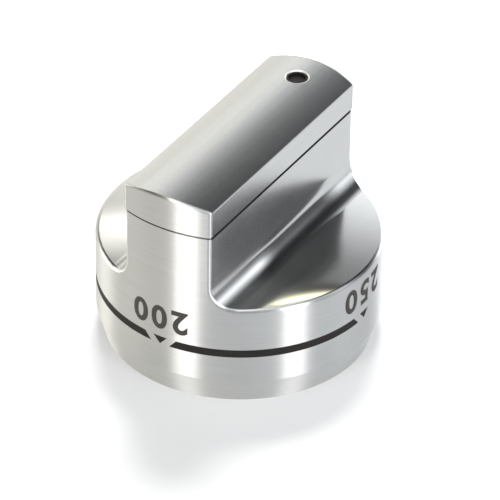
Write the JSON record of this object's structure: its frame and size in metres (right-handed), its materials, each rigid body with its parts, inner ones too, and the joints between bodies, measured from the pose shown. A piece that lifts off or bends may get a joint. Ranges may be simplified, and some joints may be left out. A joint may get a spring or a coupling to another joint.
{
  "type": "appliance control knob",
  "caption": "Round brushed-metal control knob with a bar grip, a crowned separate grip cap, a dark indicator, a dark skirt scale and a moulded hub with a D-shaft socket.",
  "frame": {"origin": "centre of the skirt's base ring, on the axis of the control shaft", "axes": "+Z along the shaft axis, away from the appliance; the grip runs along Y with its indicator at +Y"},
  "size_m": [0.048, 0.0484, 0.0387],
  "materials": {
    "brushed_metal": "brushed round the skirt",
    "satin_metal": "fine satin along the grip",
    "black_plastic": "matt",
    "scale_paint": "matt fill",
    "hub_plastic": "fine moulded grain",
    "spring_steel": "bright rolled strip",
    "screw_steel": "zinc plated"
  },
  "bodies": {
    "root": {"knob_body": "brushed_metal", "grip_cap": "satin_metal", "indicator_plug": "black_plastic", "scale_fill": "scale_paint", "shaft_hub": "hub_plastic", "shaft_spring": "spring_steel", "hub_screws": "screw_steel", "cap_screws": "screw_steel"}
  },
  "joints": []
}
